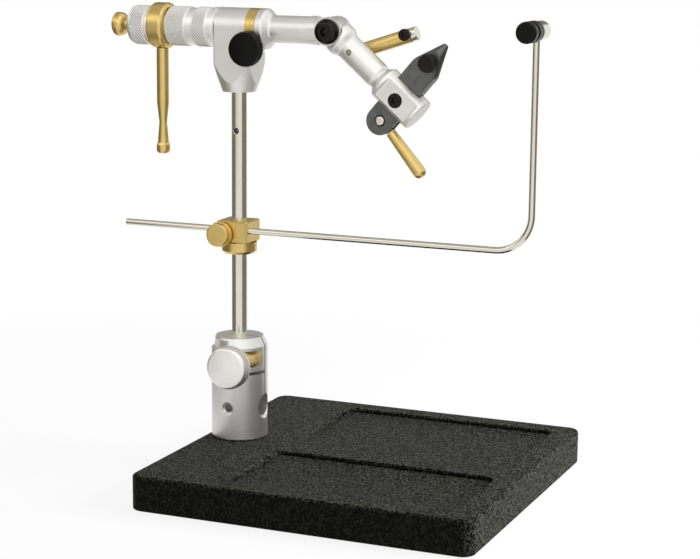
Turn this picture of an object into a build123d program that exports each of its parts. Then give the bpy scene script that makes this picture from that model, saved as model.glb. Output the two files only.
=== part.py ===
from build123d import *
import os

# A rotary fly tying vise in millimetres, +Z up. The origin is on the table under the stem.
# +X runs along the rotary axis towards the jaws and +Y points away from the person tying.

# Fits and clearances
FIT = 0.05                 # radial clearance of a shaft, pin or screw in its hole
GAP = 0.2                  # flat gap between faces that turn past each other
SWING = 0.5                # clearance round an end that swings
CUT = 3.0                  # how far a cutter runs past the surface
TIP_GAP = 0.12             # a clamping screw's tip to what it clamps

# Base
BASE_LENGTH = 211.5
BASE_WIDTH = 212.5
BASE_THICKNESS = 21.2
BASE_CORNER = 8.0          # radius of the upright corners
BASE_TOP_EDGE = 2.0
BASE_LOW_EDGE = 1.2
COLUMN_INSET = 19.5        # left edge of the base to the column's axis
COLUMN_SETBACK = 2.3       # column's axis behind the base's middle
TRAY_START = 38.2          # column's axis to the trays
TRAY_END_MARGIN = 15.0     # trays to the right edge
TRAY_SIDE_MARGIN = 14.5    # trays to the front and back edges
TRAY_RIB = 43.2            # width between the two trays
TRAY_DEPTH = 2.5
TRAY_CORNER = 6.0
TRAY_RIM = 1.2             # rounding of the rims
PAD_THICKNESS = 2.0
PAD_PROUD = 0.5            # the pad stands below the casting
PAD_MARGIN = 6.0
PAD_CORNER = 5.0

# Column, its bolt and the accessory socket
COLUMN_RADIUS = 17.4
COLUMN_HEIGHT = 64.0
COLUMN_FOOT_BEVEL = 0.8
COLUMN_TOP_BEVEL = 5.6     # height of the bevel at the top
COLUMN_TOP_INSET = 2.7     # how far that bevel goes in
BOLT_RADIUS = 4.0
BOLT_DEPTH = 11.5          # thread in the column
BOLT_HEAD_RADIUS = 6.5
BOLT_HEAD_HEIGHT = 8.0
BOLT_SOCKET = 6.0          # across flats
WASHER_RADIUS = 8.0
WASHER_THICKNESS = 1.6
STEM_SOCKET = 33.2         # depth of the stem's bore in the column
ACCESSORY_RADIUS = 6.35
ACCESSORY_MOUTH = 7.9      # radius of its bevelled mouth
ACCESSORY_HEIGHT = 20.2    # above the base
ACCESSORY_BLIND = 9.0      # how far the bore goes past the column's axis
LOCK_RADIUS = 2.5          # tapped hole for the accessory's lock screw
LOCK_MOUTH = 4.3

# Split clamp that holds the stem
SLIT = 1.2
SLIT_START = 4.0           # inside the stem's bore
FLAP_HEIGHT = 20.7         # column top to the level slit under the flap
FLAP_SLIT = 1.8
FLAP_REACH = 6.0           # how far the level slit goes past the axis
RELIEF_DROP = 1.4          # column top to the relief groove
RELIEF_HEIGHT = 6.3
RELIEF_DEPTH = 4.8
CLAMP_OFFSET = 9.7         # stem axis to the clamp screw
CLAMP_DROP = 12.7          # column top to the clamp screw
CLAMP_SEAT = 2.6           # milled seat in front of the slit
CLAMP_SEAT_HALF = 5.2      # half its height
CLAMP_SEAT_START = 5.3     # clamp screw to its inner end
CLAMP_SCREW_RADIUS = 3.0
CLAMP_THREAD = 11.0        # thread behind the slit
CLAMP_HOLE_SPARE = 0.3
CLAMP_BUSH_RADIUS = 5.0
CLAMP_BUSH_LENGTH = 27.6
CLAMP_KNOB_RADIUS = 13.2
CLAMP_KNOB_WIDTH = 9.6
CLAMP_KNOB_EDGE = 1.6
CLAMP_KNOB_HOLE = 6.5      # depth of the screw in the knob

# Stem
STEM_RADIUS = 4.7625
STEM_LENGTH = 211.6
STEM_EDGE = 0.5
STEM_HOLE_RADIUS = 1.6
STEM_HOLE_DROP = 51.2      # stem top to the cross hole
STEM_HOLE_MOUTH = 2.2

# Bobbin rest on the stem
COLLAR_RADIUS = 10.8
COLLAR_HEIGHT = 7.0
COLLAR_BEVEL = 1.6
COLLAR_STAND = 51.9        # column top to the collar
COLLAR_SCREW_RADIUS = 2.0
SET_SCREW_INSET = 0.5      # set screws end this far under the surface
SET_SCREW_SOCKET = 1.6     # depth of their hexagon
BLOCK_HALF = 10.3          # along X
BLOCK_BACK = 8.0
BLOCK_HEIGHT = 13.6
BLOCK_EDGE = 0.8
ROD_RADIUS = 1.985
ROD_LEVEL = 7.9            # block's underside to the rod's axis
ROD_WALL = 1.4             # metal in front of the rod in its block
ROD_WEB = 0.75             # metal between the rod and the stem
ROD_LEFT = 74.5            # stem axis to the rod's left end
ROD_REACH = 189.7          # stem axis to the upright
ROD_RISE = 126.7           # level stretch to the roller's axis
ROD_BEND = 21.5
ROD_SEAT = 3.4             # the upright in the tip barrel
THUMB_OFFSET = 6.8         # thumb screw to the stem's axis
THUMB_DROP = 2.4           # thumb screw below the rod's axis
THUMB_RADIUS = 7.8
THUMB_WIDTH = 6.6
THUMB_RIM = 2.4            # width of the raised rim at the back of the knob
THUMB_STEP = 0.7
THUMB_STAND = 0.6          # knob to the block
THUMB_SCREW_RADIUS = 2.5
THUMB_EDGE = 0.8

# Roller at the rod's tip
TIP_RADIUS = 5.6
TIP_FRONT = 4.1            # rod axis to the barrel's front face
TIP_BACK = 9.1
TIP_EDGE = 0.6
AXLE_RADIUS = 2.0
AXLE_TAIL = 6.0            # axle behind the rod's axis
ROLLER_RADIUS = 6.2
ROLLER_REAR = 8.5
ROLLER_FRONT = 5.0
ROLLER_GROOVE = 3.0
ROLLER_HUB_RADIUS = 4.8
ROLLER_EDGE = 1.4
ROLLER_CAP = 1.5           # front wall that covers the axle

# Head on the stem
HEAD_SOCKET = 27.3         # depth of the stem in the head
HEAD_DROP = 38.2           # rotary axis to the head's foot
HEAD_RADIUS = 12.2
HEAD_REAR = 11.8           # stem axis to the rear face
HEAD_FRONT = 12.0          # stem axis to the front face
HEAD_CORNER = 16.3         # turned radius of the upright corners
HEAD_FOOT_RADIUS = 10.2
HEAD_CONE = 17.0           # height of the conical foot
HEAD_SCREW_RADIUS = 2.5
HEAD_SCREW_RISE = 9.0
NOTCH_DEPTH = 3.0          # seat of the drag collar in the front face
NOTCH_RISE = 23.2          # head foot to the floor of that seat
BUSH_WALL = 2.35
BUSH_SPLIT = 10.8          # length of the rear bush
DRAG_WIDTH = 6.4
DRAG_LUG_FRONT = 11.0      # round lug for the drag screw, before and behind the axis
DRAG_LUG_BACK = 4.6
DRAG_LUG_RADIUS = 3.1
DRAG_SLIT = 1.0
DRAG_SCREW_RISE = 3.5      # seat floor to the drag screw
DRAG_SCREW_RADIUS = 2.0
DRAG_SCREW_REACH = 4.2     # thread behind the slit
DRAG_HOLE_SPARE = 0.3
DRAG_KNOB_RADIUS = 10.6
DRAG_KNOB_WIDTH = 6.5
DRAG_KNOB_EDGE = 0.8
DRAG_NECK = 1.8            # knob to the lug
DRAG_NECK_RADIUS = 2.8
DRAG_KNOB_HOLE = 4.5

# Rotary shaft and what is on it
CORE_RADIUS = 6.0
STUB_RADIUS = 4.0
STUB_LENGTH = 11.0
CORE_TAIL = 3.0            # the core past the crank ring
FLANGE_RADIUS = 12.2
FLANGE_WIDTH = 4.2
FLANGE_TAPER = 3.6
FLANGE_ROUND = 2.0
SHAFT_RADIUS = 8.2
FORK_START = 28.7          # flange front to the fork
PIVOT_REACH = 41.8         # flange front to the arm's pivot
FORK_RADIUS = 8.6
FORK_HALF = 8.4            # half width across the fork's flats
BARREL_RADIUS = 12.2
BARREL_LAND = 3.6          # smooth band beside the head
BARREL_GROOVE = 2.0
BARREL_FIRST_KNURL = 9.5
BARREL_WIDE_GROOVE = 4.7
BARREL_SECOND_KNURL = 13.5
BARREL_BOSS = 1.0          # small boss against the crank ring
BARREL_BOSS_RADIUS = 10.0
BARREL_GROOVE_DEPTH = 0.8
BARREL_SCREW_RADIUS = 1.5
THRUST_RADIUS = 9.5
THRUST_THICKNESS = 1.6
THRUST_PROUD = 0.1
RING_RADIUS = 14.0
RING_WIDTH = 10.7
RING_ROUND = 2.6           # rounding towards the head
RING_EDGE = 1.2
CRANK_SHIFT = 0.8          # handle behind the ring's middle
CRANK_LENGTH = 65.0
CRANK_RADIUS = 3.75
CRANK_STRAIGHT = 33.2      # ring to the start of the waist
CRANK_WAIST_RADIUS = 2.4
CRANK_WAIST = 45.6         # ring to the waist
CRANK_FLARE_RADIUS = 3.5
CRANK_FLARE = 58.2         # ring to the end of the flare
CRANK_BULB_RADIUS = 4.2
CRANK_BULB = 59.7          # ring to the bulb
CRANK_BULB_EDGE = 2.4
CRANK_STUD_RADIUS = 2.5
CRANK_STUD_SEAT = 0.2      # stud to the shaft
REAR_NECK = 2.4
REAR_NECK_RADIUS = 10.8
REAR_KNOB_RADIUS = 12.2
REAR_KNOB_WIDTH = 12.4
REAR_KNOB_EDGE = 2.4
END_NECK = 5.0
END_NECK_RADIUS = 3.6
END_KNOB_RADIUS = 7.3
END_KNOB_WIDTH = 7.6
END_KNOB_EDGE = 1.6
END_KNOB_BACK = 4.6        # large rounding towards the rear knob
END_GROOVE = 0.6
END_GROOVE_PLACE = 2.3     # knob's end to the groove
END_GROOVE_DEPTH = 0.3
END_SCREW_RADIUS = 2.0
END_SCREW_REACH = 12.0     # thread in the shaft

# Pivot of the jaw arm
ARM_ANGLE = 41.0           # arm below the level
PIVOT_RADIUS = 3.0
PIVOT_HEAD_RADIUS = 7.6
PIVOT_HEAD_HEIGHT = 4.6
PIVOT_HEAD_DOME = 3.6
PIVOT_SOCKET = 5.0         # across flats
PIVOT_SOCKET_DEPTH = 2.4
PIVOT_SPARE = 0.6          # screw end to the fork's rear flat
FRICTION_RADIUS = 7.5
FRICTION_THICKNESS = 0.5
TANG_HALF = 4.0
TANG_RADIUS = 8.4

# Arm, measured along it from the pivot
KNUCKLE_START = 5.0
KNUCKLE_RADIUS = 9.9
KNUCKLE_END = 9.5
KNUCKLE_TAPER = 3.5
ARM_RADIUS = 7.9
ARM_ROUND = 3.0
ARM_END = 40.2
NECK_RADIUS = 7.2
NECK_TAPER = 1.6           # from the arm down to the neck
NECK_LENGTH = 0.8
SPIGOT_RADIUS = 4.5
CLIP_STATION = 18.0        # clip's cross hole
CLIP_PIN_RADIUS = 1.8

# Jaw head
JAW_HEAD_RADIUS = 10.4     # turned
JAW_HEAD_LENGTH = 31.6
JAW_HEAD_BEVEL = 3.0       # bevel towards the arm
JAW_HEAD_EDGE = 0.6
JAW_HEAD_HALF = 8.0        # arm's axis to the milled flats
JAW_FLAT_START = 5.0       # start of the head to the flats
JAW_FLAT_END = 1.7         # flats to the end of the head
JAW_FLAT_ROUND = 1.6       # cutter's corner at both ends of the flats
JAW_HEAD_WALL = 8.2        # arm side of the window
WINDOW_SIDE = 0.5          # jaws to the window's flanks
WINDOW_END = 0.4           # jaws to the nose
JAW_SCREW_LEVEL = -1.0     # along the jaws from the arm's axis
JAW_SCREW_RADIUS = 2.5
JAW_SCREW_HEAD_RADIUS = 4.25
JAW_SCREW_HEAD_HEIGHT = 3.0
JAW_SCREW_PROUD = 0.8
JAW_SCREW_SOCKET = 3.4
JAW_SCREW_SOCKET_DEPTH = 1.8
JAW_SCREW_THREAD = 3.4     # thread in the rear cheek

# Jaws
JAW_WIDTH = 17.0
JAW_THICKNESS = 3.85
JAW_SPACE = 0.3            # between the closed jaws
JAW_SHOULDER = 25.5        # start of the turned point along the jaw
JAW_TIP = 42.6
JAW_TIP_RADIUS = 1.5
JAW_TIP_ROUND = 1.1
JAW_CONE_START = 22.5      # where the turned point leaves the jaw's edges
JAW_TAIL = 17.8            # arm's axis to the tail pin
TAIL_SLOT_TOP = 8.3        # tail pin to the top of the tail slot
TAIL_FRONT_WALL = 2.4
TAIL_REAR_WALL = 1.6
REAR_JAW_SPARE = 0.3       # the rocking jaw's holes are larger
ADJUST_LEVEL = 28.6
ADJUST_SCREW_RADIUS = 1.5
ADJUST_REAR_TIP = 0.4      # screw end inside the rear jaw's face
ADJUST_KNOB_RADIUS = 5.5
ADJUST_KNOB_WIDTH = 5.4
ADJUST_KNOB_EDGE = 0.8
ADJUST_KNOB_STAND = 0.6    # knob to the jaw
ADJUST_KNOB_HOLE = 3.5
SPRING_RADIUS = 2.9
SPRING_WALL = 0.9
SPRING_DEPTH = 2.0         # pocket in the front jaw

# Cam lever at the jaws' tails
CAM_ANGLE = 9.7            # lever below the arm's direction
CAM_PIN_RADIUS = 2.9
CAM_PIN_MOUTH = 0.8        # dark bevel round the pin
CAM_PIN_REAR = 3.8         # pin end behind the middle
CAM_PIN_PROUD = 0.5        # rounded front end of the pin
CAM_PIN_EDGE = 1.2
CAM_HUB_RADIUS = 5.0
CAM_HALF = 1.2
CAM_BLADE = 2.0            # half height of the blade
CAM_BLADE_SEAT = 4.0       # blade in the handle
HANDLE_START = 9.2         # from the pin
HANDLE_LENGTH = 32.3
HANDLE_START_RADIUS = 3.1
HANDLE_END_RADIUS = 4.1
HANDLE_EDGE = 3.4

# Material clip behind the arm
CLIP_ANGLE = 59.0          # above the arm's direction
CLIP_RADIUS = 4.3
CLIP_STAND = 0.9           # arm to the clip's rod
CLIP_TAIL = 4.5            # behind its pin
CLIP_LENGTH = 32.7
CLIP_PIN_DEPTH = 0.5       # pin's front end from the arm's axis
CLIP_PIN_SEAT = 1.4        # pin in the rod
CLIP_SCREW_STATION = 30.5
CLIP_SCREW_RISE = 1.0      # above the rod's axis
CLIP_SCREW_RADIUS = 1.5
CLIP_SCREW_HEAD_RADIUS = 3.6
CLIP_SCREW_HEAD_HEIGHT = 2.2
CLIP_SCREW_SOCKET = 2.6
CLIP_SCREW_SOCKET_DEPTH = 1.4
CLIP_SCREW_SEAT = 1.2
PLUNGER_RADIUS = 4.2
PLUNGER_LENGTH = 3.8
PLUNGER_STAND = 0.5
PLUNGER_EDGE = 0.6
PLUNGER_STEM_RADIUS = 1.2
PLUNGER_STEM = 13.0
CLIP_SPRING_RADIUS = 2.1
CLIP_SPRING_WALL = 0.6
CLIP_SPRING_LENGTH = 8.0
CLIP_BORE = 14.0           # depth of the plunger's bore

# Heights
base_bottom = PAD_PROUD
base_top = base_bottom + BASE_THICKNESS
pad_top = PAD_THICKNESS
bolt_seat = pad_top + GAP + BOLT_HEAD_HEIGHT + WASHER_THICKNESS
column_top = base_top + COLUMN_HEIGHT
accessory_z = base_top + ACCESSORY_HEIGHT
stem_floor = column_top - STEM_SOCKET
stem_bottom = stem_floor + GAP
stem_top = stem_bottom + STEM_LENGTH
clamp_z = column_top - CLAMP_DROP
collar_bottom = column_top + COLLAR_STAND
collar_top = collar_bottom + COLLAR_HEIGHT
block_bottom = collar_top + GAP
rod_z = block_bottom + ROD_LEVEL
tip_z = rod_z + ROD_RISE
head_foot = stem_top - HEAD_SOCKET
axis_z = head_foot + HEAD_DROP
notch_z = head_foot + NOTCH_RISE
drag_z = notch_z + DRAG_SCREW_RISE

# Stations along the rotary axis
base_left = -COLUMN_INSET
base_right = base_left + BASE_LENGTH
base_near = -COLUMN_SETBACK - BASE_WIDTH / 2
base_far = base_near + BASE_WIDTH
notch_x = HEAD_FRONT - NOTCH_DEPTH
drag_front = notch_x + DRAG_WIDTH
drag_x = notch_x + DRAG_WIDTH / 2
flange_rear = drag_front + GAP
flange_front = flange_rear + FLANGE_WIDTH
pivot_x = flange_front + PIVOT_REACH
fork_x = flange_front + FORK_START
barrel_right = -HEAD_REAR - GAP
groove_right = barrel_right - BARREL_LAND
knurl_right = groove_right - BARREL_GROOVE
groove_left = knurl_right - BARREL_FIRST_KNURL
knurl_left = groove_left - BARREL_WIDE_GROOVE
boss_right = knurl_left - BARREL_SECOND_KNURL
ring_right = boss_right - BARREL_BOSS
ring_left = ring_right - RING_WIDTH
crank_x = (ring_right + ring_left) / 2 - CRANK_SHIFT
core_left = ring_left - CORE_TAIL
stub_left = core_left - STUB_LENGTH
rear_right = ring_left - GAP
rear_shoulder = rear_right - REAR_NECK
rear_left = rear_shoulder - REAR_KNOB_WIDTH
end_right = rear_left - GAP
end_shoulder = end_right - END_NECK
end_left = end_shoulder - END_KNOB_WIDTH

# Places across the axis
stem_bore = STEM_RADIUS + FIT
rod_bore = ROD_RADIUS + FIT
rod_y = -(stem_bore + ROD_WEB + rod_bore)
block_front = rod_y - rod_bore - ROD_WALL
tip_front = rod_y - TIP_FRONT
roller_back = tip_front - GAP
groove_back = roller_back - ROLLER_REAR
groove_front = groove_back - ROLLER_GROOVE
roller_front = groove_front - ROLLER_FRONT
bush_outer = CORE_RADIUS + FIT + BUSH_WALL
tray_start = TRAY_START
tray_end = base_right - TRAY_END_MARGIN
friction_inner = TANG_HALF + FIT
slot_half = friction_inner + FRICTION_THICKNESS + FIT
jaw_head_start = ARM_END + NECK_LENGTH
window_start = jaw_head_start + JAW_HEAD_WALL
jaw_start = window_start + GAP
jaw_s = jaw_start + JAW_WIDTH / 2
jaw_head_end = jaw_head_start + JAW_HEAD_LENGTH
jaw_outer = JAW_SPACE / 2 + JAW_THICKNESS
window_half = jaw_outer + WINDOW_SIDE
clip_y = ARM_RADIUS + CLIP_STAND + CLIP_RADIUS

# Frames of the tilted pieces: x runs along the piece
ARM = Pos(pivot_x, 0, axis_z) * Rot(0, ARM_ANGLE, 0)
CAM = ARM * Pos(jaw_s, 0, -JAW_TAIL) * Rot(0, CAM_ANGLE, 0)
CLIP = ARM * Pos(CLIP_STATION, 0, 0) * Rot(0, -CLIP_ANGLE, 0)


def rod(radius, start, end):
    """Round bar about Z between two heights."""
    return Pos(0, 0, start) * Cylinder(radius, end - start, align=(Align.CENTER, Align.CENTER, Align.MIN))


def ring(outer, inner, start, end):
    """Tube about Z between two heights."""
    return rod(outer, start, end) - rod(inner, start - CUT, end + CUT)


def turned(*outline):
    """Solid of revolution about Z from (height, radius) points, closed along the axis."""
    points = [(radius, height) for height, radius in outline]
    points += [(0, outline[-1][0]), (0, outline[0][0])]
    return revolve(Plane.XZ * make_face(Polyline(*points, close=True)), Axis.Z)


def block(x, y, z):
    """Box between pairs of limits."""
    lengths = [high - low for low, high in (x, y, z)]
    return Pos(x[0], y[0], z[0]) * Box(*lengths, align=(Align.MIN, Align.MIN, Align.MIN))


def along_x(piece, x=0.0, y=0.0, z=0.0):
    """Lay a piece drawn about Z along +X."""
    return Pos(x, y, z) * Rot(0, 90, 0) * piece


def along_y(piece, x=0.0, y=0.0, z=0.0):
    """Lay a piece drawn about Z along +Y."""
    return Pos(x, y, z) * Rot(-90, 0, 0) * piece


def hexagon(flats, depth, start):
    """Hexagon socket cut about Z, from start upwards."""
    return Pos(0, 0, start) * extrude(RegularPolygon(flats / 2, 6, major_radius=False), depth)


def soften(piece, axis, place, size):
    """Round the edges at one end of a piece: place 0 is the lowest group along the axis, -1 the highest."""
    return fillet(piece.edges().group_by(axis)[place], size)


def round_rims(piece, start, end, size):
    """Round the rims of a turned piece between two heights."""
    rims = piece.edges().filter_by(GeomType.CIRCLE).filter_by_position(Axis.Z, start - FIT, end + FIT)
    return fillet(rims, size)


def knob(radius, start, end, edge):
    """Disc about Z with both rims softened."""
    disc = rod(radius, start, end)
    return soften(soften(disc, Axis.Z, 0, edge), Axis.Z, -1, edge)


def cap_screw(head_radius, head_height, radius, length, flats, depth, edge):
    """Socket screw about Z: the head below zero with its hexagon, the shank above."""
    head = soften(rod(head_radius, -head_height, 0), Axis.Z, 0, edge)
    return head + rod(radius, 0, length) - hexagon(flats, depth, -head_height)


def set_screw(radius, tip, end):
    """Headless screw about Z with a hexagon at its outer end."""
    return rod(radius, tip, end) - hexagon(radius, SET_SCREW_SOCKET, end - SET_SCREW_SOCKET)


def base_outline(margin, corner, z):
    """Base plan with rounded corners, inset by a margin, between two heights."""
    plate = block((base_left + margin, base_right - margin),
                  (base_near + margin, base_far - margin), z)
    return fillet(plate.edges().filter_by(Axis.Z), corner)


def base_casting():
    plate = base_outline(0, BASE_CORNER, (base_bottom, base_top))
    plate = soften(plate, Axis.Z, -1, BASE_TOP_EDGE)
    plate = soften(plate, Axis.Z, 0, BASE_LOW_EDGE)
    near, far = base_near + TRAY_SIDE_MARGIN, base_far - TRAY_SIDE_MARGIN
    inner = (far - near - TRAY_RIB) / 2
    for low, high in ((near, near + inner), (far - inner, far)):
        tray = block((tray_start, tray_end), (low, high), (base_top - TRAY_DEPTH, base_top + CUT))
        plate -= fillet(tray.edges().filter_by(Axis.Z), TRAY_CORNER)
    on_top = plate.edges().filter_by_position(Axis.Z, base_top - FIT, base_top + FIT)
    rims = on_top.filter_by_position(Axis.X, tray_start - FIT, tray_end + FIT)
    rims = rims.filter_by_position(Axis.Y, near - FIT, far + FIT)
    plate = fillet(rims, TRAY_RIM)
    plate -= base_outline(PAD_MARGIN - FIT, PAD_CORNER, (base_bottom - CUT, pad_top))
    plate -= rod(WASHER_RADIUS + GAP, pad_top - CUT, bolt_seat)
    return plate - rod(BOLT_RADIUS + FIT, bolt_seat - CUT, base_top + CUT)


def base_pad():
    return base_outline(PAD_MARGIN, PAD_CORNER, (0, pad_top))


def bolt_washer():
    return ring(WASHER_RADIUS, BOLT_RADIUS + FIT, bolt_seat - WASHER_THICKNESS, bolt_seat)


def column_bolt():
    head_top = bolt_seat - WASHER_THICKNESS
    length = base_top + BOLT_DEPTH - head_top
    screw = cap_screw(BOLT_HEAD_RADIUS, BOLT_HEAD_HEIGHT, BOLT_RADIUS, length, BOLT_SOCKET,
                      BOLT_HEAD_HEIGHT / 2, COLUMN_FOOT_BEVEL)
    return Pos(0, 0, head_top) * screw


def column():
    body = turned((base_top, COLUMN_RADIUS - COLUMN_FOOT_BEVEL),
                  (base_top + COLUMN_FOOT_BEVEL, COLUMN_RADIUS),
                  (column_top - COLUMN_TOP_BEVEL, COLUMN_RADIUS),
                  (column_top, COLUMN_RADIUS - COLUMN_TOP_INSET))
    past = COLUMN_RADIUS + CUT
    body -= rod(BOLT_RADIUS + FIT, base_top - CUT, base_top + BOLT_DEPTH + GAP)
    body -= rod(stem_bore, stem_floor, column_top + CUT)
    mouth = ACCESSORY_MOUTH - ACCESSORY_RADIUS
    body -= along_x(turned((-ACCESSORY_BLIND, ACCESSORY_RADIUS), (COLUMN_RADIUS - mouth, ACCESSORY_RADIUS),
                           (past, ACCESSORY_MOUTH + CUT)), z=accessory_z)
    mouth = LOCK_MOUTH - LOCK_RADIUS
    lock = turned((-past, LOCK_MOUTH + CUT), (mouth - COLUMN_RADIUS, LOCK_RADIUS), (0, LOCK_RADIUS))
    body -= along_y(lock, z=accessory_z)
    body -= block((SLIT_START, past), (-SLIT / 2, SLIT / 2), (accessory_z, column_top + CUT))
    flap_z = column_top - FLAP_HEIGHT
    body -= block((-FLAP_REACH, past), (-past, SLIT / 2), (flap_z - FLAP_SLIT, flap_z))
    relief_z = column_top - RELIEF_DROP
    relief = ring(past, COLUMN_RADIUS - RELIEF_DEPTH, relief_z - RELIEF_HEIGHT, relief_z)
    body -= relief & block((-past, 0), (-past, 0), (relief_z - RELIEF_HEIGHT, relief_z))
    body -= block((CLAMP_OFFSET - CLAMP_SEAT_START, past), (-past, -CLAMP_SEAT),
                  (clamp_z - CLAMP_SEAT_HALF, clamp_z + CLAMP_SEAT_HALF))
    clamp = rod(CLAMP_SCREW_RADIUS + CLAMP_HOLE_SPARE, -CLAMP_SEAT - CUT, 0)
    clamp += rod(CLAMP_SCREW_RADIUS + FIT, -CUT, CLAMP_THREAD + GAP)
    return body - along_y(clamp, CLAMP_OFFSET, z=clamp_z)


bush_front = -CLAMP_SEAT - CLAMP_BUSH_LENGTH
clamp_knob_back = bush_front - GAP


def stem_clamp_bush():
    tube = ring(CLAMP_BUSH_RADIUS, CLAMP_SCREW_RADIUS + FIT, bush_front, -CLAMP_SEAT)
    return along_y(tube, CLAMP_OFFSET, z=clamp_z)


def stem_clamp_knob():
    disc = knob(CLAMP_KNOB_RADIUS, clamp_knob_back - CLAMP_KNOB_WIDTH, clamp_knob_back, CLAMP_KNOB_EDGE)
    disc -= rod(CLAMP_SCREW_RADIUS, clamp_knob_back - CLAMP_KNOB_HOLE, clamp_knob_back + CUT)
    return along_y(disc, CLAMP_OFFSET, z=clamp_z)


def stem_clamp_screw():
    screw = rod(CLAMP_SCREW_RADIUS, clamp_knob_back - CLAMP_KNOB_HOLE, CLAMP_THREAD)
    return along_y(screw, CLAMP_OFFSET, z=clamp_z)


def stem():
    """Round bar with a cross hole that is countersunk at the front."""
    bar = chamfer(rod(STEM_RADIUS, stem_bottom, stem_top).edges(), STEM_EDGE)
    past = STEM_RADIUS + CUT
    sink = STEM_HOLE_MOUTH - STEM_HOLE_RADIUS - STEM_RADIUS
    bar -= along_y(rod(STEM_HOLE_RADIUS, -past, past), z=stem_top - STEM_HOLE_DROP)
    cone = turned((-past, STEM_HOLE_MOUTH + CUT), (sink, STEM_HOLE_RADIUS))
    return bar - along_y(cone, z=stem_top - STEM_HOLE_DROP)


collar_screw_z = collar_bottom + COLLAR_HEIGHT / 2


def stop_collar():
    body = turned((collar_bottom, COLLAR_RADIUS - COLLAR_BEVEL),
                  (collar_bottom + COLLAR_BEVEL, COLLAR_RADIUS),
                  (collar_top, COLLAR_RADIUS))
    body -= rod(stem_bore, collar_bottom - CUT, collar_top + CUT)
    return body - along_y(rod(COLLAR_SCREW_RADIUS + FIT, 0, COLLAR_RADIUS + CUT), z=collar_screw_z)


def collar_set_screw():
    screw = set_screw(COLLAR_SCREW_RADIUS, STEM_RADIUS + TIP_GAP, COLLAR_RADIUS - SET_SCREW_INSET)
    return along_y(screw, z=collar_screw_z)


thumb_z = rod_z - THUMB_DROP
thumb_back = block_front - THUMB_STAND
thumb_front = thumb_back - THUMB_WIDTH


def bobbin_block():
    block_top = block_bottom + BLOCK_HEIGHT
    body = block((-BLOCK_HALF, BLOCK_HALF), (block_front, BLOCK_BACK), (block_bottom, block_top))
    body = chamfer(body.edges(), BLOCK_EDGE)
    body -= rod(stem_bore, block_bottom - CUT, block_top + CUT)
    body -= along_x(rod(rod_bore, -BLOCK_HALF - CUT, BLOCK_HALF + CUT), y=rod_y, z=rod_z)
    return body - along_y(rod(THUMB_SCREW_RADIUS + FIT, block_front - CUT, rod_y), -THUMB_OFFSET, z=thumb_z)


def bobbin_thumb_screw():
    """Knob with a narrower front and a raised rim behind, and its screw up to the rod."""
    grip = knob(THUMB_RADIUS - THUMB_STEP, thumb_front, thumb_back, THUMB_EDGE)
    grip += knob(THUMB_RADIUS, thumb_back - THUMB_RIM, thumb_back, THUMB_STEP)
    tip = rod_y - ROD_RADIUS - TIP_GAP
    return along_y(grip + rod(THUMB_SCREW_RADIUS, thumb_back - THUMB_RIM, tip), -THUMB_OFFSET, z=thumb_z)


rod_top = tip_z - TIP_RADIUS + ROD_SEAT


def bobbin_rod():
    left = (-ROD_LEFT, rod_y, rod_z)
    path = FilletPolyline(left, (ROD_REACH, rod_y, rod_z), (ROD_REACH, rod_y, rod_top), radius=ROD_BEND)
    return sweep(Plane(origin=left, z_dir=(1, 0, 0)) * Circle(ROD_RADIUS), path=path)


def spindle_barrel():
    body = knob(TIP_RADIUS, tip_front, rod_y + TIP_BACK, TIP_EDGE)
    body -= rod(AXLE_RADIUS + FIT, tip_front - CUT, rod_y + AXLE_TAIL + GAP)
    body = along_y(body, ROD_REACH, z=tip_z)
    return body - Pos(ROD_REACH, rod_y, 0) * rod(rod_bore, tip_z - TIP_RADIUS - CUT, tip_z)


def spool_axle():
    axle = rod(AXLE_RADIUS, roller_front + ROLLER_CAP + GAP, rod_y + AXLE_TAIL)
    return along_y(axle, ROD_REACH, z=tip_z)


def spool_front_disc():
    disc = soften(rod(ROLLER_RADIUS, roller_front, groove_front), Axis.Z, 0, ROLLER_EDGE)
    disc -= rod(AXLE_RADIUS + FIT, roller_front + ROLLER_CAP, groove_front + CUT)
    return along_y(disc, ROD_REACH, z=tip_z)


def spool_hub():
    hub = ring(ROLLER_HUB_RADIUS, AXLE_RADIUS + FIT, groove_front, groove_back)
    return along_y(hub, ROD_REACH, z=tip_z)


def spool_rear_disc():
    disc = knob(ROLLER_RADIUS, groove_back, roller_back, TIP_EDGE)
    return along_y(disc - rod(AXLE_RADIUS + FIT, groove_back - CUT, roller_back + CUT), ROD_REACH, z=tip_z)


head_screw_z = head_foot + HEAD_SCREW_RISE


def head_body():
    top = axis_z + HEAD_RADIUS
    body = along_x(rod(HEAD_RADIUS, -HEAD_REAR, HEAD_FRONT), z=axis_z)
    body += block((-HEAD_REAR, HEAD_FRONT), (-HEAD_RADIUS, HEAD_RADIUS), (head_foot, axis_z))
    body &= turned((head_foot, HEAD_FOOT_RADIUS), (head_foot + HEAD_CONE, HEAD_CORNER),
                   (top + CUT, HEAD_CORNER))
    past = HEAD_RADIUS + CUT
    body -= block((notch_x, HEAD_FRONT + CUT), (-past, past), (notch_z, top + CUT))
    body -= along_x(rod(bush_outer, -HEAD_REAR - CUT, HEAD_FRONT + CUT), z=axis_z)
    body -= rod(stem_bore, head_foot - CUT, stem_top + GAP)
    return body - along_y(rod(HEAD_SCREW_RADIUS + FIT, 0, past), z=head_screw_z)


def head_set_screw():
    screw = set_screw(HEAD_SCREW_RADIUS, STEM_RADIUS + TIP_GAP, HEAD_FOOT_RADIUS - SET_SCREW_INSET)
    return along_y(screw, z=head_screw_z)


bush_split = BUSH_SPLIT - HEAD_REAR


def rear_bush():
    return along_x(ring(bush_outer, CORE_RADIUS + FIT, -HEAD_REAR, bush_split), z=axis_z)


def front_bush():
    return along_x(ring(bush_outer, CORE_RADIUS + FIT, bush_split, notch_x), z=axis_z)


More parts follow.
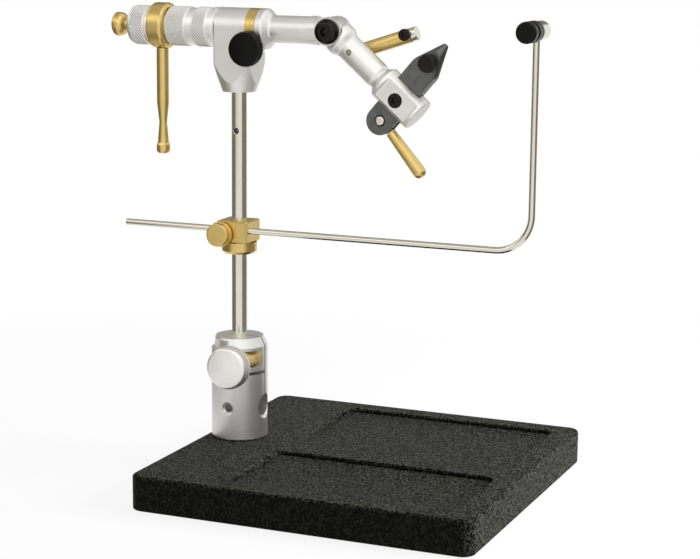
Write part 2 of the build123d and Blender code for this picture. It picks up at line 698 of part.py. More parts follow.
def drag_collar():
    body = along_x(rod(HEAD_RADIUS, notch_x, drag_front), z=axis_z)
    body += along_y(rod(DRAG_LUG_RADIUS, -DRAG_LUG_FRONT, DRAG_LUG_BACK), drag_x, z=drag_z)
    body -= along_x(rod(CORE_RADIUS + FIT, notch_x - CUT, drag_front + CUT), z=axis_z)
    body -= block((notch_x - CUT, drag_front + CUT), (-DRAG_SLIT / 2, DRAG_SLIT / 2),
                  (notch_z - CUT, axis_z))
    body -= along_y(rod(DRAG_SCREW_RADIUS + DRAG_HOLE_SPARE, -DRAG_LUG_FRONT - CUT, 0), drag_x, z=drag_z)
    return body - along_y(rod(DRAG_SCREW_RADIUS + FIT, 0, HEAD_RADIUS), drag_x, z=drag_z)


drag_neck_back = -DRAG_LUG_FRONT - GAP
drag_knob_back = drag_neck_back - DRAG_NECK


def drag_knob():
    body = knob(DRAG_KNOB_RADIUS, drag_knob_back - DRAG_KNOB_WIDTH, drag_knob_back, DRAG_KNOB_EDGE)
    body += rod(DRAG_NECK_RADIUS, drag_knob_back, drag_neck_back)
    body -= rod(DRAG_SCREW_RADIUS, drag_knob_back - DRAG_KNOB_HOLE, drag_neck_back + CUT)
    return along_y(body, drag_x, z=drag_z)


def drag_screw():
    screw = rod(DRAG_SCREW_RADIUS, drag_knob_back - DRAG_KNOB_HOLE, DRAG_SCREW_REACH)
    return along_y(screw, drag_x, z=drag_z)


def rotary_shaft():
    shaft = turned((stub_left, STUB_RADIUS), (core_left, STUB_RADIUS), (core_left, CORE_RADIUS),
                   (flange_rear, CORE_RADIUS), (flange_rear, FLANGE_RADIUS), (flange_front, FLANGE_RADIUS),
                   (flange_front + FLANGE_TAPER, SHAFT_RADIUS), (fork_x, SHAFT_RADIUS))
    shaft = round_rims(shaft, flange_front, flange_front + FLANGE_TAPER, FLANGE_ROUND)
    fork = along_x(rod(FORK_RADIUS, fork_x, pivot_x))
    fork += along_y(rod(FORK_RADIUS, -FORK_RADIUS, FORK_RADIUS), pivot_x)
    past = pivot_x + FORK_RADIUS + CUT
    fork &= block((fork_x, past), (-FORK_HALF, FORK_HALF), (-FORK_RADIUS, FORK_RADIUS))
    slot_x = pivot_x - TANG_RADIUS - SWING
    fork -= block((slot_x, past), (-slot_half, slot_half), (-past, past))
    fork -= along_y(rod(PIVOT_RADIUS + FIT, -FORK_HALF - CUT, FORK_HALF + CUT), pivot_x)
    shaft = along_x(shaft) + fork
    shaft -= along_x(rod(END_SCREW_RADIUS + FIT, stub_left - CUT, end_right + END_SCREW_REACH + GAP))
    return Pos(0, 0, axis_z) * shaft


barrel_screw_x = (groove_left + knurl_left) / 2
groove_radius = BARREL_RADIUS - BARREL_GROOVE_DEPTH


def rotary_barrel():
    body = turned((ring_right, BARREL_BOSS_RADIUS), (boss_right, BARREL_BOSS_RADIUS),
                  (boss_right, BARREL_RADIUS), (knurl_left, BARREL_RADIUS),
                  (knurl_left, groove_radius), (groove_left, groove_radius),
                  (groove_left, BARREL_RADIUS), (knurl_right, BARREL_RADIUS),
                  (knurl_right, groove_radius), (groove_right, groove_radius),
                  (groove_right, BARREL_RADIUS), (barrel_right, BARREL_RADIUS))
    body -= rod(CORE_RADIUS + FIT, ring_right - CUT, barrel_right + CUT)
    body -= rod(THRUST_RADIUS + FIT, barrel_right + THRUST_PROUD - THRUST_THICKNESS, barrel_right + CUT)
    body = along_x(body, z=axis_z)
    return body - along_y(rod(BARREL_SCREW_RADIUS + FIT, 0, BARREL_RADIUS), barrel_screw_x, z=axis_z)


def barrel_set_screw():
    screw = set_screw(BARREL_SCREW_RADIUS, CORE_RADIUS + FIT, groove_radius - SET_SCREW_INSET)
    return along_y(screw, barrel_screw_x, z=axis_z)


def thrust_washer():
    face = barrel_right + THRUST_PROUD
    return along_x(ring(THRUST_RADIUS, CORE_RADIUS + FIT, face - THRUST_THICKNESS, face), z=axis_z)


def crank_ring():
    body = soften(rod(RING_RADIUS, ring_left, ring_right), Axis.Z, 0, RING_EDGE)
    body = soften(body, Axis.Z, -1, RING_ROUND)
    body = along_x(body - rod(CORE_RADIUS + FIT, ring_left - CUT, ring_right + CUT), z=axis_z)
    return body - Pos(crank_x, 0, axis_z) * rod(CRANK_STUD_RADIUS + FIT, -RING_RADIUS - CUT, 0)


def crank_handle():
    """Straight grip, narrow waist, flare and bulb, hanging from its stud in the crank ring."""
    grip = turned((0, CRANK_RADIUS), (CRANK_STRAIGHT, CRANK_RADIUS), (CRANK_WAIST, CRANK_WAIST_RADIUS),
                  (CRANK_FLARE, CRANK_FLARE_RADIUS), (CRANK_BULB, CRANK_BULB_RADIUS),
                  (CRANK_LENGTH, CRANK_BULB_RADIUS))
    grip = soften(grip, Axis.Z, -1, CRANK_BULB_EDGE)
    flat = block((-RING_WIDTH, RING_WIDTH), (-RING_RADIUS, RING_RADIUS), (-RING_RADIUS, RING_RADIUS))
    bore = Pos(0, 0, -RING_RADIUS) * along_x(rod(RING_RADIUS + GAP, -RING_WIDTH, RING_WIDTH))
    grip -= bore & flat
    stud = rod(CRANK_STUD_RADIUS, CORE_RADIUS + CRANK_STUD_SEAT - RING_RADIUS, CRANK_RADIUS)
    return Pos(crank_x, 0, axis_z - RING_RADIUS) * Rot(180, 0, 0) * (grip + stud)


def rear_knob():
    body = soften(rod(REAR_KNOB_RADIUS, rear_left, rear_shoulder), Axis.Z, 0, REAR_KNOB_EDGE)
    body += rod(REAR_NECK_RADIUS, rear_shoulder, rear_right)
    body -= rod(CORE_RADIUS + FIT, core_left - GAP, rear_right + CUT)
    return along_x(body - rod(STUB_RADIUS + FIT, rear_left - CUT, rear_right), z=axis_z)


def end_knob():
    disc = soften(rod(END_KNOB_RADIUS, end_left, end_shoulder), Axis.Z, 0, END_KNOB_EDGE)
    disc = soften(disc, Axis.Z, -1, END_KNOB_BACK)
    middle = end_left + END_GROOVE_PLACE
    disc -= ring(END_KNOB_RADIUS + CUT, END_KNOB_RADIUS - END_GROOVE_DEPTH, middle - END_GROOVE / 2,
                 middle + END_GROOVE / 2)
    disc += rod(END_NECK_RADIUS, end_shoulder, end_right)
    return along_x(disc + rod(END_SCREW_RADIUS, end_right, end_right + END_SCREW_REACH), z=axis_z)


def pivot_screw():
    screw = cap_screw(PIVOT_HEAD_RADIUS, PIVOT_HEAD_HEIGHT, PIVOT_RADIUS, 2 * FORK_HALF - PIVOT_SPARE,
                      PIVOT_SOCKET, PIVOT_SOCKET_DEPTH, PIVOT_HEAD_DOME)
    return along_y(screw, pivot_x, -FORK_HALF, axis_z)


def pivot_washers():
    washer = ring(FRICTION_RADIUS, PIVOT_RADIUS + FIT, friction_inner, friction_inner + FRICTION_THICKNESS)
    pair = washer + Rot(180, 0, 0) * washer
    return along_y(pair, pivot_x, z=axis_z)


def jaw_arm():
    """Tang in the fork, knuckle, round arm, neck and the spigot in the jaw head."""
    spigot_end = window_start - FIT
    arm = turned((KNUCKLE_START, KNUCKLE_RADIUS), (KNUCKLE_END, KNUCKLE_RADIUS),
                 (KNUCKLE_END + KNUCKLE_TAPER, ARM_RADIUS), (ARM_END - NECK_TAPER, ARM_RADIUS),
                 (ARM_END, NECK_RADIUS), (jaw_head_start, NECK_RADIUS),
                 (jaw_head_start, SPIGOT_RADIUS), (spigot_end, SPIGOT_RADIUS))
    arm = along_x(round_rims(arm, KNUCKLE_END, ARM_END - NECK_TAPER, ARM_ROUND))
    arm -= along_y(rod(FORK_RADIUS + SWING, -KNUCKLE_RADIUS - CUT, KNUCKLE_RADIUS + CUT))
    tang = along_y(rod(TANG_RADIUS, -TANG_HALF, TANG_HALF))
    web = block((0, KNUCKLE_END), (-TANG_HALF, TANG_HALF), (-TANG_RADIUS, TANG_RADIUS))
    arm += tang + web
    arm -= along_y(rod(PIVOT_RADIUS + FIT, -TANG_HALF - CUT, TANG_HALF + CUT))
    clip_hole = rod(CLIP_PIN_RADIUS + FIT, -ARM_RADIUS - CUT, ARM_RADIUS + CUT)
    return ARM * (arm - along_y(clip_hole, CLIP_STATION))


jaw_screw_seat = JAW_SCREW_HEAD_HEIGHT - JAW_SCREW_PROUD - JAW_HEAD_HALF
jaw_screw_end = window_half + JAW_SCREW_THREAD


def jaw_head():
    """Turned piece with a bevel at the arm, flats in front and behind, and a window that holds the jaws."""
    half, radius = JAW_HEAD_HALF, JAW_HEAD_RADIUS
    body = turned((jaw_head_start, radius - JAW_HEAD_BEVEL), (jaw_head_start + JAW_HEAD_BEVEL, radius),
                  (jaw_head_end, radius))
    body = along_x(soften(body, Axis.Z, -1, JAW_HEAD_EDGE))
    flat = block((jaw_head_start + JAW_FLAT_START, jaw_head_end - JAW_FLAT_END), (half, radius + CUT),
                 (-radius - CUT, radius + CUT))
    flat = fillet(flat.edges().filter_by(Axis.Z).group_by(Axis.Y)[0], JAW_FLAT_ROUND)
    body -= flat
    body -= mirror(flat, Plane.XZ)
    window_end = jaw_start + JAW_WIDTH + WINDOW_END
    body -= block((window_start, window_end), (-window_half, window_half), (-radius - CUT, radius + CUT))
    body -= along_x(rod(SPIGOT_RADIUS + FIT, jaw_head_start - CUT, window_start + CUT))
    hole = rod(JAW_SCREW_HEAD_RADIUS + GAP, -half - CUT, jaw_screw_seat)
    hole += rod(JAW_SCREW_RADIUS + FIT, jaw_screw_seat, jaw_screw_end + GAP)
    return ARM * (body - along_y(hole, jaw_s, z=JAW_SCREW_LEVEL))


def jaw_screw():
    length = jaw_screw_end - jaw_screw_seat
    screw = cap_screw(JAW_SCREW_HEAD_RADIUS, JAW_SCREW_HEAD_HEIGHT, JAW_SCREW_RADIUS, length,
                      JAW_SCREW_SOCKET, JAW_SCREW_SOCKET_DEPTH, JAW_SCREW_PROUD)
    return ARM * along_y(screw, jaw_s, jaw_screw_seat, JAW_SCREW_LEVEL)


def jaw_blank(side, tail_wall):
    """Jaw without holes, with a turned point and a thin tail beside the cam: side -1 is the front jaw."""
    half = JAW_WIDTH / 2
    left, right = jaw_s - half, jaw_s + half
    sides = Polyline((left, -JAW_TAIL), (left, JAW_TIP), (right, JAW_TIP), (right, -JAW_TAIL))
    tail = ThreePointArc((right, -JAW_TAIL), (jaw_s, -JAW_TAIL - half), (left, -JAW_TAIL))
    front = Plane.XZ * make_face(sides + tail)
    blank = extrude(front, jaw_outer + CUT, both=True)
    inner, low, slot = JAW_SPACE / 2, -JAW_TAIL - JAW_WIDTH, TAIL_SLOT_TOP - JAW_TAIL
    tail_inner = jaw_outer - tail_wall
    section = Polyline((inner, JAW_TIP), (jaw_outer, JAW_TIP), (jaw_outer, low), (tail_inner, low),
                       (tail_inner, slot), (inner, slot), close=True)
    bar = Pos(left - CUT, 0, 0) * extrude(Plane.YZ * make_face(section), JAW_WIDTH + 2 * CUT)
    if side < 0:
        bar = mirror(bar, Plane.XZ)
    slope = (half - JAW_TIP_RADIUS) / (JAW_TIP - JAW_SHOULDER)
    wide = half + slope * (JAW_SHOULDER - JAW_CONE_START)
    point = turned((low, wide), (JAW_CONE_START, wide), (JAW_TIP, JAW_TIP_RADIUS))
    return blank & bar & Pos(jaw_s, 0, 0) * soften(point, Axis.Z, -1, JAW_TIP_ROUND)


def front_jaw():
    body = jaw_blank(-1, TAIL_FRONT_WALL)
    body -= along_y(rod(JAW_SCREW_RADIUS + FIT, -jaw_outer - CUT, CUT), jaw_s, z=JAW_SCREW_LEVEL)
    body -= along_y(rod(ADJUST_SCREW_RADIUS + FIT, -jaw_outer - CUT, CUT), jaw_s, z=ADJUST_LEVEL)
    pocket = rod(SPRING_RADIUS + FIT, -JAW_SPACE / 2 - SPRING_DEPTH, CUT)
    body -= along_y(pocket, jaw_s, z=ADJUST_LEVEL)
    mouth = CAM_PIN_RADIUS + CAM_PIN_MOUTH
    hole = turned((-jaw_outer - CUT, mouth + CUT), (CAM_PIN_MOUTH - jaw_outer, CAM_PIN_RADIUS + FIT),
                  (CUT, CAM_PIN_RADIUS + FIT))
    return ARM * (body - along_y(hole, jaw_s, z=-JAW_TAIL))


def rear_jaw():
    body = jaw_blank(1, TAIL_REAR_WALL)
    for radius, level in ((JAW_SCREW_RADIUS, JAW_SCREW_LEVEL), (ADJUST_SCREW_RADIUS, ADJUST_LEVEL),
                          (CAM_PIN_RADIUS, -JAW_TAIL)):
        body -= along_y(rod(radius + REAR_JAW_SPARE, -CUT, jaw_outer + CUT), jaw_s, z=level)
    return ARM * body


adjust_knob_back = -jaw_outer - ADJUST_KNOB_STAND


def jaw_adjust_knob():
    front = adjust_knob_back - ADJUST_KNOB_WIDTH
    disc = knob(ADJUST_KNOB_RADIUS, front, adjust_knob_back, ADJUST_KNOB_EDGE)
    disc -= rod(ADJUST_SCREW_RADIUS, adjust_knob_back - ADJUST_KNOB_HOLE, adjust_knob_back + CUT)
    return ARM * along_y(disc, jaw_s, z=ADJUST_LEVEL)


def jaw_adjust_screw():
    screw = rod(ADJUST_SCREW_RADIUS, adjust_knob_back - ADJUST_KNOB_HOLE, jaw_outer - ADJUST_REAR_TIP)
    return ARM * along_y(screw, jaw_s, z=ADJUST_LEVEL)


def jaw_spring():
    seat = -JAW_SPACE / 2 - SPRING_DEPTH
    coil = ring(SPRING_RADIUS, SPRING_RADIUS - SPRING_WALL, seat, JAW_SPACE / 2 - FIT)
    return ARM * along_y(coil, jaw_s, z=ADJUST_LEVEL)


def cam_pin():
    pin = soften(rod(CAM_PIN_RADIUS, -jaw_outer - CAM_PIN_PROUD, CAM_PIN_REAR), Axis.Z, 0, CAM_PIN_EDGE)
    return ARM * along_y(pin, jaw_s, z=-JAW_TAIL)


def cam_blade():
    """Flat blade that runs from the lever's hub into the handle."""
    return block((0, HANDLE_START + CAM_BLADE_SEAT), (-CAM_HALF, CAM_HALF), (-CAM_BLADE, CAM_BLADE))


def cam_lever():
    body = along_y(rod(CAM_HUB_RADIUS, -CAM_HALF, CAM_HALF)) + cam_blade()
    return CAM * (body - along_y(rod(CAM_PIN_RADIUS + FIT, -CAM_HALF - CUT, CAM_HALF + CUT)))


def cam_handle():
    end = HANDLE_START + HANDLE_LENGTH
    grip = turned((HANDLE_START, HANDLE_START_RADIUS), (end, HANDLE_END_RADIUS))
    return CAM * (along_x(soften(grip, Axis.Z, -1, HANDLE_EDGE)) - cam_blade())


clip_front = clip_y - CLIP_RADIUS
clip_bore_start = CLIP_LENGTH - CLIP_BORE
clip_screw_tip = clip_front + CLIP_SCREW_SEAT


def clip_rod():
    body = along_x(soften(rod(CLIP_RADIUS, -CLIP_TAIL, CLIP_LENGTH), Axis.Z, 0, PLUNGER_EDGE), y=clip_y)
    body -= along_x(rod(CLIP_SPRING_RADIUS + FIT, clip_bore_start, CLIP_LENGTH + CUT), y=clip_y)
    body -= along_y(rod(CLIP_PIN_RADIUS, clip_front - CUT, clip_front + CLIP_PIN_SEAT))
    screw_hole = rod(CLIP_SCREW_RADIUS, clip_front - CUT, clip_screw_tip)
    return CLIP * (body - along_y(screw_hole, CLIP_SCREW_STATION, z=CLIP_SCREW_RISE))


def clip_pin():
    return CLIP * along_y(rod(CLIP_PIN_RADIUS, -CLIP_PIN_DEPTH, clip_front + CLIP_PIN_SEAT))


def clip_screw():
    screw = cap_screw(CLIP_SCREW_HEAD_RADIUS, CLIP_SCREW_HEAD_HEIGHT, CLIP_SCREW_RADIUS, CLIP_SCREW_SEAT,
                      CLIP_SCREW_SOCKET, CLIP_SCREW_SOCKET_DEPTH, PLUNGER_EDGE)
    return CLIP * along_y(screw, CLIP_SCREW_STATION, clip_front, CLIP_SCREW_RISE)


def clip_spring():
    coil = ring(CLIP_SPRING_RADIUS, CLIP_SPRING_RADIUS - CLIP_SPRING_WALL, clip_bore_start,
                clip_bore_start + CLIP_SPRING_LENGTH)
    return CLIP * along_x(coil, y=clip_y)


def clip_plunger():
    start = CLIP_LENGTH + PLUNGER_STAND
    head = knob(PLUNGER_RADIUS, start, start + PLUNGER_LENGTH, PLUNGER_EDGE)
    return CLIP * along_x(head + rod(PLUNGER_STEM_RADIUS, start - PLUNGER_STEM, start), y=clip_y)


PIECES = (
    base_casting, base_pad, column_bolt, bolt_washer, column, stem_clamp_bush, stem_clamp_knob,
    stem_clamp_screw, stem, stop_collar, collar_set_screw, bobbin_block, bobbin_thumb_screw,
    bobbin_rod, spindle_barrel, spool_axle, spool_front_disc, spool_hub, spool_rear_disc, head_body,
    head_set_screw, rear_bush, front_bush, drag_collar, drag_knob, drag_screw, rotary_shaft,
    rotary_barrel, barrel_set_screw, thrust_washer, crank_ring, crank_handle, rear_knob, end_knob,
    pivot_screw, pivot_washers, jaw_arm, jaw_head, jaw_screw, front_jaw, rear_jaw, jaw_adjust_knob,
    jaw_adjust_screw, jaw_spring, cam_pin, cam_lever, cam_handle, clip_rod, clip_pin, clip_screw,
    clip_spring, clip_plunger,
)

os.makedirs("parts", exist_ok=True)
for make in PIECES:
    export_step(make(), f"parts/{make.__name__}.step")
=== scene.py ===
import math

import bpy
import bmesh
from mathutils import Matrix, Vector


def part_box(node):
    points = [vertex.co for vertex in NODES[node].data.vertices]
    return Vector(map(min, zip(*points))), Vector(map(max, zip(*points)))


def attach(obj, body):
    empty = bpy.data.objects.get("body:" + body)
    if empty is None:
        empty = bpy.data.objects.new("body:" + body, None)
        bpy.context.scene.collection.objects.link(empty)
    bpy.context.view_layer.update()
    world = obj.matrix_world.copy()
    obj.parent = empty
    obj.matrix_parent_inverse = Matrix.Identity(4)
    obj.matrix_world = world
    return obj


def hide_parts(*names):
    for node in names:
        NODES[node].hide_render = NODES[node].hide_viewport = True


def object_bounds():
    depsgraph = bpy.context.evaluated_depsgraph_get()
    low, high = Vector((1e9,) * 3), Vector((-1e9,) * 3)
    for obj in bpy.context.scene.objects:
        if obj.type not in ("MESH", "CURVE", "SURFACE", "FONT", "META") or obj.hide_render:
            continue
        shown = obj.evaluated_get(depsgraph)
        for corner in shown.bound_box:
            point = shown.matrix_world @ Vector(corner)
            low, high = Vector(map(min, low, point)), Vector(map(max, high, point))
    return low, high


# The looks of a rotary fly tying vise, in metres and in the frame of its solids.
# Every node gets a finish, knurled knobs are modelled in full, and a white studio lights it.

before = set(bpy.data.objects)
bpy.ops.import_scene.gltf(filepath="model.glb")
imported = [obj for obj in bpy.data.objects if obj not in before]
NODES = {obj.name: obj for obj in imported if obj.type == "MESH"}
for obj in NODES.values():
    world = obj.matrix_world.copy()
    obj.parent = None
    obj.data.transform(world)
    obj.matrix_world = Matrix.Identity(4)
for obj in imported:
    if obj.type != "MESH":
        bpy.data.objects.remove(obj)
cad_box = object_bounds()
MM = 0.001


# Finishes

SOCKETS = {"specular": "Specular IOR Level", "subsurface": "Subsurface Weight"}
TEXTURE_SPAN = (0.3, 0.7)   # where most values of a texture lie
BORE_FADE = 1.1             # end of the painted shade in a bore, over its radius


class Finish:
    """A material with one Principled shader, and short ways to give it texture in the model's own frame."""

    def __init__(self, name, color, roughness, metallic=0.0, **sockets):
        self.material = bpy.data.materials.new(name)
        self.material.use_nodes = True
        self.tree = self.material.node_tree
        self.shader = self.tree.nodes["Principled BSDF"]
        self.set("Base Color", (*color, 1.0))
        self.set("Roughness", roughness)
        self.set("Metallic", metallic)
        for socket, value in sockets.items():
            self.set(SOCKETS[socket], value)
        self.place = self.add("ShaderNodeTexCoord").outputs["Object"]

    def set(self, socket, value):
        self.shader.inputs[socket].default_value = value

    def add(self, kind, **properties):
        node = self.tree.nodes.new(kind)
        for key, value in properties.items():
            setattr(node, key, value)
        return node

    def link(self, source, target):
        self.tree.links.new(source, target)

    def stretched(self, scale):
        """Coordinates scaled apart along X, Y and Z, for streaks."""
        mapping = self.add("ShaderNodeMapping")
        mapping.inputs["Scale"].default_value = scale
        self.link(self.place, mapping.inputs["Vector"])
        return mapping.outputs["Vector"]

    def noise(self, grain, detail=2.0, place=None):
        """Noise with grains of a real size in metres."""
        node = self.add("ShaderNodeTexNoise")
        node.inputs["Scale"].default_value = 1.0 / grain
        node.inputs["Detail"].default_value = detail
        self.link(place or self.place, node.inputs["Vector"])
        return node.outputs["Fac"]

    def cells(self, grain):
        """Rounded bumps with a real size in metres."""
        node = self.add("ShaderNodeTexVoronoi", feature="SMOOTH_F1")
        node.inputs["Scale"].default_value = 1.0 / grain
        self.link(self.place, node.inputs["Vector"])
        return node.outputs["Distance"]

    def spread(self, factor, low, high):
        """Map the middle of a texture to a range of values."""
        node = self.add("ShaderNodeMapRange")
        node.inputs["From Min"].default_value = TEXTURE_SPAN[0]
        node.inputs["From Max"].default_value = TEXTURE_SPAN[1]
        node.inputs["To Min"].default_value = low
        node.inputs["To Max"].default_value = high
        self.link(factor, node.inputs["Value"])
        return node.outputs["Result"]

    def vary_color(self, factor, dark, light, span=TEXTURE_SPAN):
        """Mix two colours by the middle of a texture; a narrow span makes clear specks."""
        ramp = self.add("ShaderNodeValToRGB")
        for element, position, color in zip(ramp.color_ramp.elements, span, (dark, light)):
            element.position = position
            element.color = (*color, 1.0)
        self.link(factor, ramp.inputs["Fac"])
        self.color = ramp.outputs["Color"]
        self.link(self.color, self.shader.inputs["Base Color"])

    def paint_groove_shade(self, tone):
        """Paint shade into the low places of a knurl, which its mesh marks as relief."""
        relief = self.add("ShaderNodeAttribute", attribute_name="relief")
        self.shade(relief.outputs["Fac"], (0.0, 1.0), tone)

    def paint_bore_shade(self, middle, radius, tone):
        """Paint shade on the wall of a bore along Y, about a place in the piece's own frame."""
        across = self.add("ShaderNodeMapping")
        across.inputs["Location"].default_value = (-middle.x, 0.0, -middle.z)
        across.inputs["Scale"].default_value = (1.0, 0.0, 1.0)
        self.link(self.place, across.inputs["Vector"])
        reach = self.add("ShaderNodeVectorMath", operation="LENGTH")
        self.link(across.outputs["Vector"], reach.inputs["Vector"])
        self.shade(reach.outputs["Value"], (radius, BORE_FADE * radius), tone)

    def shade(self, factor, span, tone):
        """Paint shade: darken the colour to a tone where a factor is low."""
        level = self.add("ShaderNodeMapRange")
        level.inputs["From Min"].default_value = span[0]
        level.inputs["From Max"].default_value = span[1]
        level.inputs["To Min"].default_value = tone
        self.link(factor, level.inputs["Value"])
        shade = self.add("ShaderNodeVectorMath", operation="SCALE")
        self.link(self.color, shade.inputs["Vector"])
        self.link(level.outputs["Result"], shade.inputs["Scale"])
        self.link(shade.outputs["Vector"], self.shader.inputs["Base Color"])

    def vary_roughness(self, factor, low, high):
        self.link(self.spread(factor, low, high), self.shader.inputs["Roughness"])

    def bump(self, *layers):
        """Stack relief layers, each a (height texture, depth in metres) pair."""
        normal = None
        for height, depth in layers:
            node = self.add("ShaderNodeBump")
            node.inputs["Distance"].default_value = depth
            self.link(height, node.inputs["Height"])
            if normal:
                self.link(normal, node.inputs["Normal"])
            normal = node.outputs["Normal"]
        self.link(normal, self.shader.inputs["Normal"])


def powder_coat():
    """Black casting paint with a coarse pebbled grain."""
    coat = Finish("powder_coat", (0.02, 0.02, 0.016), 0.55, specular=0.06)
    pebbles = coat.cells(1.2 * MM)
    coat.vary_color(coat.noise(1.3 * MM, 1.0), (0.0005, 0.0005, 0.0005), (0.064, 0.065, 0.052),
                    (0.44, 0.64))
    coat.vary_roughness(coat.noise(1.6 * MM), 0.45, 0.62)
    coat.bump((pebbles, 0.32 * MM), (coat.noise(0.5 * MM), 0.05 * MM))
    return coat.material


def rubber():
    sheet = Finish("rubber", (0.02, 0.02, 0.02), 0.85)
    sheet.vary_color(sheet.noise(2.0 * MM), (0.015, 0.015, 0.015), (0.03, 0.03, 0.03))
    sheet.bump((sheet.noise(0.5 * MM), 0.03 * MM))
    return sheet.material


def blasted_aluminium(name="blasted_aluminium", gain=1.0):
    """Aluminium with an even bead-blasted surface."""
    metal = Finish(name, (0.81, 0.80, 0.77), 0.46, 1.0)
    dark = [gain * value for value in (0.79, 0.78, 0.75)]
    light = [gain * value for value in (0.83, 0.82, 0.79)]
    metal.vary_color(metal.noise(14.0 * MM), dark, light)
    metal.vary_roughness(metal.noise(2.0 * MM, 4.0), 0.42, 0.50)
    metal.bump((metal.noise(0.25 * MM), 0.006 * MM))
    return metal


def knurled_aluminium():
    """Aluminium of the knurled pieces: a lighter copy of the blasted aluminium, with painted shade in the
    grooves, so the crests read brighter than the grooves.
    """
    # painted light and shade: a copy of the aluminium 1.17 times lighter, with its grooves darkened to 0.6
    # as painted shade
    metal = blasted_aluminium("knurled_aluminium", 1.17)
    metal.paint_groove_shade(0.6)
    return metal.material


def polished_steel(name="polished_steel"):
    """Ground and polished bar with faint marks round it."""
    metal = Finish(name, (0.72, 0.69, 0.60), 0.16, 1.0)
    marks = metal.noise(1.5 * MM, 3.0, metal.stretched((0.2, 0.2, 4.0)))
    metal.vary_color(metal.noise(20.0 * MM), (0.70, 0.67, 0.58), (0.74, 0.71, 0.62))
    metal.vary_roughness(marks, 0.13, 0.19)
    metal.bump((marks, 0.001 * MM))
    return metal


STEM_HOLE_DROP = 51.2 * MM  # stem's top to its cross hole
STEM_HOLE_RADIUS = 1.6 * MM


def painted_bore_shade_steel():
    """The stem's finish, with painted shade inside its cross hole."""
    low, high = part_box("stem")
    middle = Vector(((low.x + high.x) / 2, 0.0, high.z - STEM_HOLE_DROP))
    metal = polished_steel("painted_bore_shade_steel")
    # painted shade: the cross hole's wall darkened to 0.08 of the steel's colour
    metal.paint_bore_shade(NODES["stem"].matrix_world.inverted() @ middle, STEM_HOLE_RADIUS, 0.08)
    return metal.material


def satin_brass():
    """Turned brass with a fine satin surface, a little uneven in tone."""
    metal = Finish("satin_brass", (0.72, 0.53, 0.19), 0.34, 1.0)
    metal.vary_color(metal.noise(9.0 * MM, 3.0), (0.69, 0.50, 0.17), (0.75, 0.56, 0.22))
    metal.vary_roughness(metal.noise(3.0 * MM, 2.0), 0.30, 0.38)
    metal.bump((metal.noise(0.3 * MM), 0.001 * MM))
    return metal.material


def oiled_bronze():
    metal = Finish("oiled_bronze", (0.55, 0.35, 0.17), 0.38, 1.0)
    metal.vary_color(metal.noise(0.4 * MM, 3.0), (0.42, 0.26, 0.12), (0.60, 0.39, 0.19))
    metal.bump((metal.noise(0.3 * MM), 0.006 * MM))
    return metal.material


def jaw_steel():
    """Hardened dark steel with a fine ground surface."""
    metal = Finish("jaw_steel", (0.14, 0.14, 0.138), 0.4, 1.0)
    grind = metal.noise(0.8 * MM, 4.0, metal.stretched((4.0, 1.0, 0.4)))
    metal.vary_color(metal.noise(5.0 * MM, 3.0), (0.12, 0.12, 0.118), (0.16, 0.16, 0.157))
    metal.vary_roughness(grind, 0.34, 0.48)
    metal.bump((grind, 0.003 * MM))
    return metal.material


def black_oxide():
    """Blackened screws, slightly glossy."""
    metal = Finish("black_oxide", (0.024, 0.023, 0.021), 0.18, 1.0)
    metal.vary_color(metal.noise(1.5 * MM, 3.0), (0.018, 0.017, 0.016), (0.030, 0.029, 0.026))
    metal.vary_roughness(metal.noise(0.8 * MM), 0.14, 0.22)
    metal.bump((metal.noise(0.3 * MM), 0.003 * MM))
    return metal.material


def black_anodised():
    """Black knobs, semi-gloss."""
    skin = Finish("black_anodised", (0.004, 0.004, 0.004), 0.28, specular=0.16)
    skin.vary_color(skin.noise(4.0 * MM, 3.0), (0.003, 0.003, 0.003), (0.006, 0.006, 0.006))
    skin.vary_roughness(skin.noise(1.0 * MM, 3.0), 0.24, 0.34)
    skin.bump((skin.noise(0.35 * MM), 0.003 * MM))
    return skin.material


def acetal():
    skin = Finish("acetal", (0.75, 0.74, 0.70), 0.45, subsurface=0.1)
    skin.vary_color(skin.noise(3.0 * MM), (0.72, 0.71, 0.67), (0.78, 0.77, 0.73))
    skin.bump((skin.noise(0.4 * MM), 0.004 * MM))
    return skin.material


FINISHES = {
    "base_coat": powder_coat(),
    "rubber": rubber(),
    "aluminium": blasted_aluminium().material,
    "steel": polished_steel().material,
    "brass": satin_brass(),
    "bronze": oiled_bronze(),
    "jaw_steel": jaw_steel(),
    "black_steel": black_oxide(),
    "black_plastic": black_anodised(),
    "washer_plastic": acetal(),
}
KNURLED = {"aluminium": knurled_aluminium()}
SLOTS = {name: node.material_slots[0].material.name for name, node in NODES.items()}
for name, node in NODES.items():
    node.material_slots[0].material = FINISHES[SLOTS[name]]
NODES["stem"].material_slots[0].material = painted_bore_shade_steel()


# Knurled and turned pieces, made in full

KNURL_PITCH = 1.6 * MM      # round the rim
KNURL_SLOPE = 1.0           # length of a diamond over its width
KNURL_DEPTH = 0.42 * MM
RIM_STEPS = 4
SHARP_ANGLE = 28.0          # degrees between faces that stay a sharp edge


def to_axis(node, axis):
    """Matrix from (height along the axis, two places across it) to the frame.
    The piece's length and radius come with it."""
    low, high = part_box(node)
    middle = (low + high) / 2
    along = "XYZ".index(axis)
    across = [(along + 1) % 3, (along + 2) % 3]
    matrix = Matrix.Identity(4)
    for row in range(3):
        matrix[row][0] = 1.0 if row == along else 0.0
        matrix[row][1] = 1.0 if row == across[0] else 0.0
        matrix[row][2] = 1.0 if row == across[1] else 0.0
        matrix[row][3] = low[row] if row == along else middle[row]
    return matrix, high[along] - low[along], (high[across[0]] - low[across[0]]) / 2


def ring_of(mesh, height, radii):
    """A ring of points at one height, with its radius given point by point."""
    step = 2 * math.pi / len(radii)
    return [mesh.verts.new((height, radius * math.cos(k * step), radius * math.sin(k * step)))
            for k, radius in enumerate(radii)]


